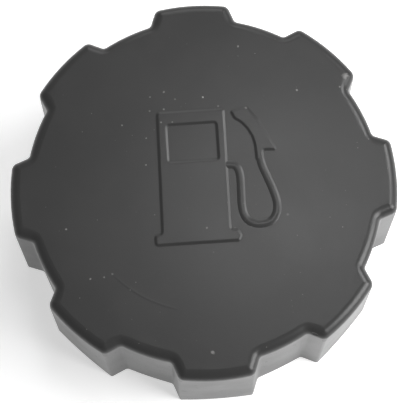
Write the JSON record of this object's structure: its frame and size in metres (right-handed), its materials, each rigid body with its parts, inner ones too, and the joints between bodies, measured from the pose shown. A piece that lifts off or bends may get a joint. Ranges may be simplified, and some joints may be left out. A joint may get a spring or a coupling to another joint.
{
  "type": "fuel filler cap",
  "caption": "Screw-on fuel filler cap with a lobed grip cover that ratchets over a threaded, vented closure with a neck gasket.",
  "frame": {"origin": "centre of the grip cover's bottom rim, in the rim's plane", "axes": "+Z along the cap's axis, out of its top; one lobe centred on +Y and one on +X"},
  "size_m": [0.0898, 0.0898, 0.0351],
  "materials": {
    "cover_plastic": "satin dark grey moulded polyamide, finely textured",
    "closure_plastic": "black moulded polyamide",
    "cage_plastic": "grey moulded acetal",
    "acetal_white": "natural acetal",
    "gasket_rubber": "nitrile rubber",
    "screw_steel": "zinc-plated steel",
    "spring_steel": "stainless spring wire",
    "filter_foam": "open-cell foam"
  },
  "bodies": {
    "closure": {"threaded_cap": "closure_plastic", "neck_gasket": "gasket_rubber", "valve_cage": "cage_plastic", "cage_seal": "gasket_rubber", "splash_baffle": "cage_plastic", "cage_screws": "screw_steel", "spring_retainer": "cage_plastic", "vent_filter": "filter_foam", "filter_cap": "cage_plastic", "pressure_spring": "spring_steel"},
    "cover": {"grip_cover": "cover_plastic", "click_ring": "acetal_white", "retaining_ring": "closure_plastic", "thrust_washer": "acetal_white"},
    "pressure_valve": {"pressure_plate": "acetal_white", "pressure_seal": "gasket_rubber", "seal_clamp": "acetal_white", "vacuum_spring": "spring_steel"},
    "vacuum_valve": {"vacuum_poppet": "acetal_white", "vacuum_seal": "gasket_rubber", "stem_clip": "spring_steel"}
  },
  "joints": [
    {"name": "ratchet_turn", "type": "hinge", "parent": "closure", "child": "cover", "pos_m": [0, 0, 0.02], "axis": [0, 0, 1], "continuous": true},
    {"name": "pressure_lift", "type": "slide", "parent": "closure", "child": "pressure_valve", "axis": [0, 0, 1], "range_m": [0, 0.002], "stiffness_N_per_m": 600, "springref_m": -0.003, "deforming": ["pressure_spring"]},
    {"name": "vacuum_drop", "type": "slide", "parent": "pressure_valve", "child": "vacuum_valve", "axis": [0, 0, -1], "range_m": [0, 0.001], "stiffness_N_per_m": 120, "springref_m": -0.002, "deforming": ["vacuum_spring"]}
  ]
}
